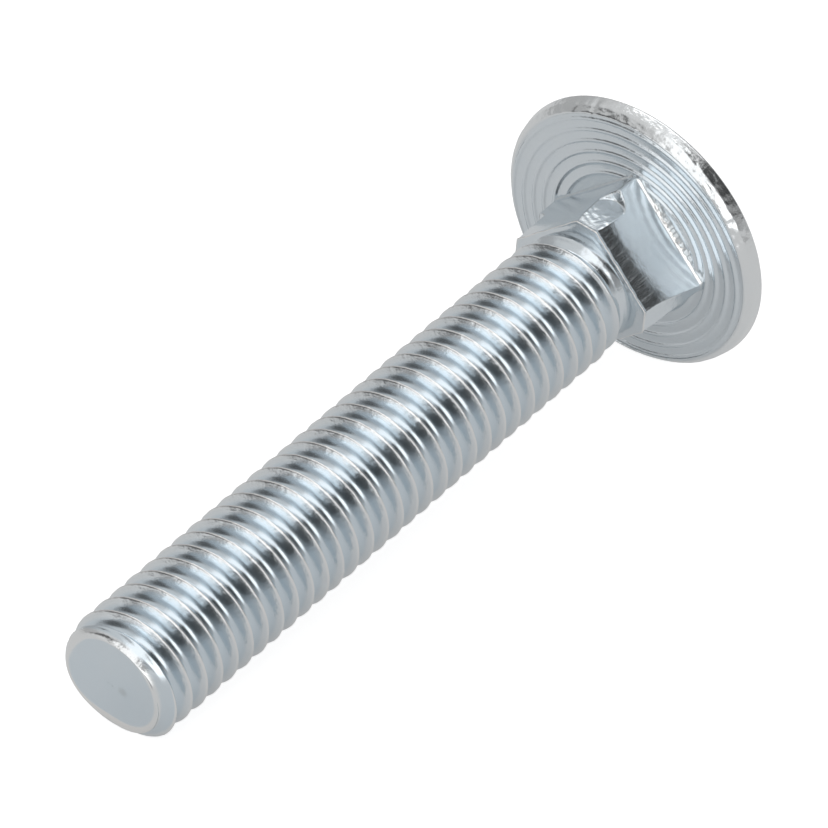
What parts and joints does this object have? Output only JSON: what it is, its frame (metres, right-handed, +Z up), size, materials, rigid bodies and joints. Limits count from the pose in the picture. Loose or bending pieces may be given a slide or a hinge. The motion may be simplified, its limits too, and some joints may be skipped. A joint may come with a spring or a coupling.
{
  "type": "carriage bolt",
  "caption": "Carriage bolt: low domed round head with a ringed flat underside, square neck, and a right-hand thread along the whole shank to a flat chamfered tip. It lies on its side.",
  "frame": {"origin": "on the floor under the middle of the box that the lying bolt fills", "axes": "+X along the floor from the tip to the head, +Z up, +Y across the bolt; the axis of the bolt leans up towards the head by 5.6 degrees"},
  "size_m": [0.0608, 0.021, 0.021],
  "materials": {
    "zinc_plated_steel": "bright zinc plating, slightly blue, smooth"
  },
  "bodies": {
    "root": {"bolt": "zinc_plated_steel"}
  },
  "joints": []
}
